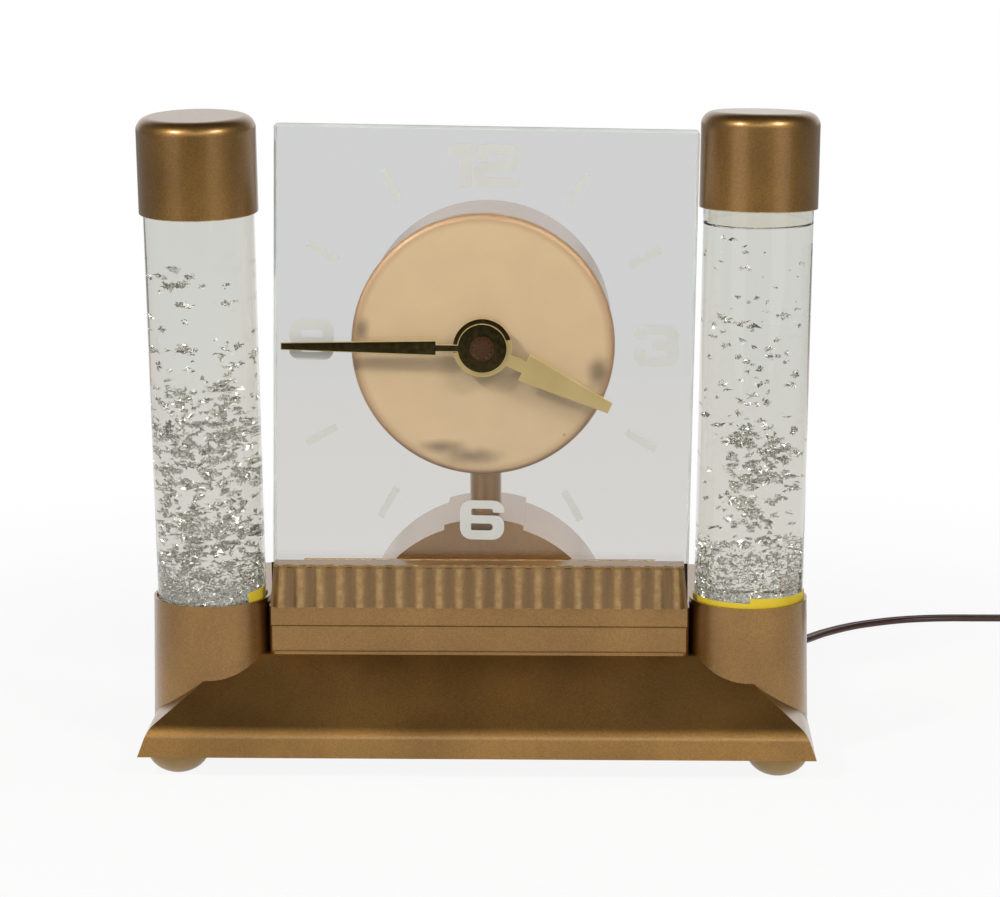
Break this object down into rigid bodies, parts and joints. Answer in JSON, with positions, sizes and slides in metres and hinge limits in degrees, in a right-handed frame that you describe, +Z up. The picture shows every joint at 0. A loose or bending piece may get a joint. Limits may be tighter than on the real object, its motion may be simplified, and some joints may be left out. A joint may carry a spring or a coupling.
{
  "type": "motion clock",
  "caption": "Mantel motion clock: square glass dial plate with hands before a drum movement, on a moulded base with an upright flake-filled glass tube and cap at each end.",
  "frame": {"origin": "centre of the base's footprint on the plane of the feet", "axes": "+X to the right seen from the front, +Y to the back, +Z up"},
  "size_m": [0.5045, 0.2756, 0.2658],
  "materials": {
    "bronze_paint": "metallic bronze paint",
    "cover_paint": "dark paint",
    "foot_plastic": "satin",
    "steel": "plated",
    "felt": "felt",
    "plate_glass": "polished",
    "dial_satin": "satin gold",
    "fibre": "matt",
    "brass": "polished",
    "nut_bronze": "dark bronze",
    "coil_tape": "varnished tape",
    "black_plastic": "moulded",
    "bulb_glass": "frosted",
    "tube_glass": "clear",
    "liquid": "clear liquid",
    "flakes": "bright flakes",
    "stopper_rubber": "matt",
    "yellow_tape": "tape",
    "cord_rubber": "satin"
  },
  "bodies": {
    "base": {"base_shell": "bronze_paint", "base_cover": "cover_paint", "feet": "foot_plastic", "foot_screws": "steel", "fluted_rail": "bronze_paint", "glass_cushion": "felt", "glass_back_rail": "bronze_paint", "dial_glass": "plate_glass", "pedestal": "bronze_paint", "support_column": "bronze_paint", "column_nuts": "steel", "motor_case": "bronze_paint", "dial_disc": "dial_satin", "glass_washer": "fibre", "dial_nut": "brass", "front_plate": "brass", "rear_plate": "brass", "plate_pillars": "steel", "rotor_case": "nut_bronze", "stator_core": "steel", "field_coil": "coil_tape", "core_posts": "steel", "lamp_bracket_left": "steel", "lamp_bracket_right": "steel", "lamp_socket_left": "brass", "lamp_socket_right": "brass", "lamp_bulb_left": "bulb_glass", "lamp_bulb_right": "bulb_glass", "switch_body": "black_plastic", "switch_nut": "steel", "tube_liner_left": "yellow_tape", "tube_liner_right": "yellow_tape", "cord_grommet": "cord_rubber", "power_cord": "cord_rubber", "cord_coil": "cord_rubber", "cord_tie": "cord_rubber", "plug_body": "black_plastic", "plug_blades": "brass"},
    "minute_train": {"minute_arbor": "brass", "minute_hand": "brass", "hand_nut": "nut_bronze"},
    "hour_train": {"hour_wheel": "brass", "hour_hand": "brass"},
    "minute_wheel": {"minute_wheel": "brass"},
    "set_train": {"set_shaft": "steel", "set_knob": "black_plastic"},
    "drive_pinion": {"drive_pinion": "steel"},
    "switch_lever": {"switch_lever": "steel"},
    "tube_left": {"glass_tube_left": "tube_glass", "liquid_left": "liquid", "flake_bed_left": "flakes", "stopper_left": "stopper_rubber", "tube_cap_left": "bronze_paint"},
    "tube_right": {"glass_tube_right": "tube_glass", "liquid_right": "liquid", "flake_bed_right": "flakes", "stopper_right": "stopper_rubber", "tube_cap_right": "bronze_paint"}
  },
  "joints": [
    {"name": "minute_turn", "type": "hinge", "parent": "base", "child": "minute_train", "pos_m": [0.0017, 0, 0.17], "axis": [0, 1, 0], "continuous": true},
    {"name": "hour_turn", "type": "hinge", "parent": "base", "child": "hour_train", "pos_m": [0.0017, 0, 0.17], "axis": [0, 1, 0], "continuous": true},
    {"name": "minute_wheel_turn", "type": "hinge", "parent": "base", "child": "minute_wheel", "pos_m": [0.0177, 0, 0.17], "axis": [0, 1, 0], "continuous": true},
    {"name": "set_turn", "type": "hinge", "parent": "base", "child": "set_train", "pos_m": [0.0177, 0, 0.154], "axis": [0, 1, 0], "continuous": true},
    {"name": "drive_turn", "type": "hinge", "parent": "base", "child": "drive_pinion", "pos_m": [-0.01315, 0, 0.18485], "axis": [0, 1, 0], "continuous": true},
    {"name": "switch_throw", "type": "hinge", "parent": "base", "child": "switch_lever", "pos_m": [-0.06, 0.0528, 0.0475], "axis": [1, 0, 0], "range_deg": [-24, 0]},
    {"name": "tube_left_lift", "type": "slide", "parent": "base", "child": "tube_left", "axis": [-0.0087, -0.0471, 0.9989], "range_m": [0, 0.03]},
    {"name": "tube_right_lift", "type": "slide", "parent": "base", "child": "tube_right", "axis": [0.0157, 0.0349, 0.9993], "range_m": [0, 0.03]}
  ],
  "couplings": [
    {"joint": "hour_turn", "follows": "minute_turn", "ratio": 0.083333},
    {"joint": "minute_wheel_turn", "follows": "minute_turn", "ratio": -0.33333},
    {"joint": "set_turn", "follows": "minute_turn", "ratio": 1},
    {"joint": "drive_turn", "follows": "minute_turn", "ratio": -6}
  ]
}
